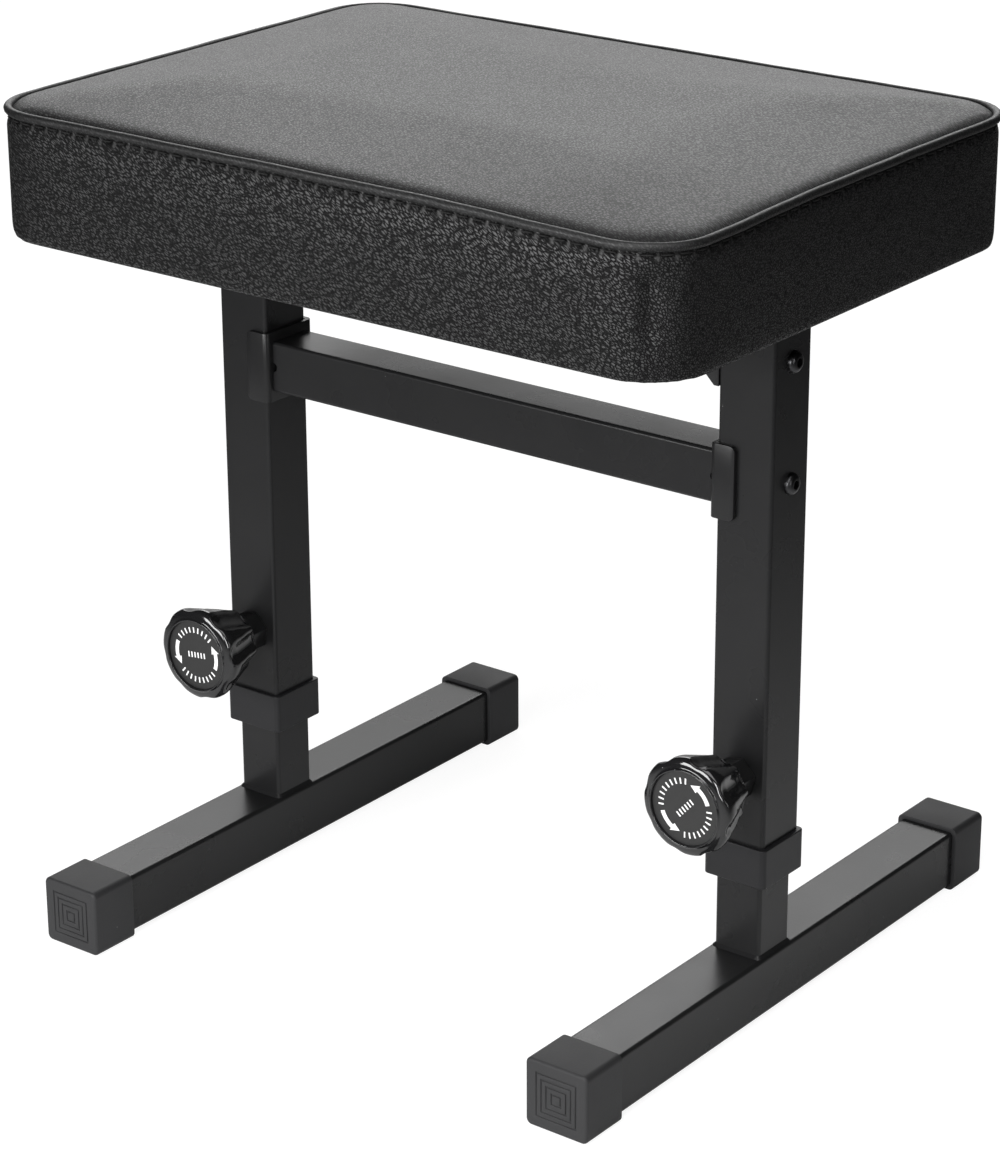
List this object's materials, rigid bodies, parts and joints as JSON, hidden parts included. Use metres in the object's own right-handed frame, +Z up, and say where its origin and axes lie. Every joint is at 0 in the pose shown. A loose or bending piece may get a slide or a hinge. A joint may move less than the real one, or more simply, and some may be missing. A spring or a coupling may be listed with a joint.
{
  "type": "keyboard bench",
  "caption": "Height-adjustable keyboard bench: a padded seat on square posts that slide on floor tubes, set by turning and pulling fluted knobs with spring pins.",
  "frame": {"origin": "on the floor at the middle of the footprint, midway between the posts and between the ends of the floor tubes", "axes": "+X along the seat's long side towards the right post, -Y towards the front with the knobs, +Z up"},
  "size_m": [0.3954, 0.345, 0.4255],
  "materials": {
    "frame_paint": "satin black powder coat",
    "bolt_steel": "black zinc",
    "plated_steel": "bright zinc",
    "spring_steel": "plain drawn wire",
    "cap_rubber": "matte black",
    "guide_plastic": "satin black",
    "knob_plastic": "gloss black",
    "disc_plastic": "matte black with printed arrows",
    "leatherette": "grained black leatherette",
    "foam": "open-cell foam",
    "plywood": "raw plywood",
    "dust_cloth": "black spun-bonded cloth"
  },
  "bodies": {
    "base_left": {"base_tube_left": "frame_paint", "front_cap_left": "cap_rubber", "rear_cap_left": "cap_rubber", "inner_post_left": "frame_paint", "guide_bush_left": "guide_plastic"},
    "base_right": {"base_tube_right": "frame_paint", "front_cap_right": "cap_rubber", "rear_cap_right": "cap_rubber", "inner_post_right": "frame_paint", "guide_bush_right": "guide_plastic"},
    "upper_frame": {"crossbar": "frame_paint", "crossbar_bolts": "bolt_steel", "bracket_bolts": "bolt_steel", "frame_nuts": "plated_steel", "seat_screws": "bolt_steel", "tee_nuts": "plated_steel", "seat_board": "plywood", "seat_foam": "foam", "cover_side": "leatherette", "cover_top": "leatherette", "piping": "leatherette", "dust_cover": "dust_cloth", "outer_post_left": "frame_paint", "collar_left": "guide_plastic", "saddle_left": "frame_paint", "seat_bracket_left": "frame_paint", "lock_boss_left": "frame_paint", "outer_post_right": "frame_paint", "collar_right": "guide_plastic", "saddle_right": "frame_paint", "seat_bracket_right": "frame_paint", "lock_boss_right": "frame_paint"},
    "lock_barrel_left": {"lock_barrel_left": "plated_steel", "spring_retainer_left": "plated_steel"},
    "lock_barrel_right": {"lock_barrel_right": "plated_steel", "spring_retainer_right": "plated_steel"},
    "lock_knob_left": {"knob_left": "knob_plastic", "knob_disc_left": "disc_plastic", "knob_screw_left": "plated_steel", "lock_pin_left": "plated_steel", "lock_spring_left": "spring_steel"},
    "lock_knob_right": {"knob_right": "knob_plastic", "knob_disc_right": "disc_plastic", "knob_screw_right": "plated_steel", "lock_pin_right": "plated_steel", "lock_spring_right": "spring_steel"}
  },
  "joints": [
    {"name": "height", "type": "slide", "parent": "base_left", "child": "upper_frame", "axis": [0, 0, 1], "range_m": [0, 0.1]},
    {"name": "height_right", "type": "slide", "parent": "upper_frame", "child": "base_right", "axis": [0, 0, -1], "range_m": [0, 0.1]},
    {"name": "knob_turn_left", "type": "hinge", "parent": "upper_frame", "child": "lock_barrel_left", "pos_m": [-0.15, -0.031, 0.125], "axis": [0, -1, 0], "range_deg": [-180, 360]},
    {"name": "knob_pull_left", "type": "slide", "parent": "lock_barrel_left", "child": "lock_knob_left", "axis": [0, -1, 0], "range_m": [-0.006, 0.002], "stiffness_N_per_m": 600, "springref_m": -0.02, "deforming": ["lock_spring_left"]},
    {"name": "knob_turn_right", "type": "hinge", "parent": "upper_frame", "child": "lock_barrel_right", "pos_m": [0.15, -0.031, 0.125], "axis": [0, -1, 0], "range_deg": [-180, 360]},
    {"name": "knob_pull_right", "type": "slide", "parent": "lock_barrel_right", "child": "lock_knob_right", "axis": [0, -1, 0], "range_m": [-0.006, 0.002], "stiffness_N_per_m": 600, "springref_m": -0.02, "deforming": ["lock_spring_right"]}
  ],
  "couplings": [
    {"joint": "height_right", "follows": "height", "ratio": 1}
  ]
}
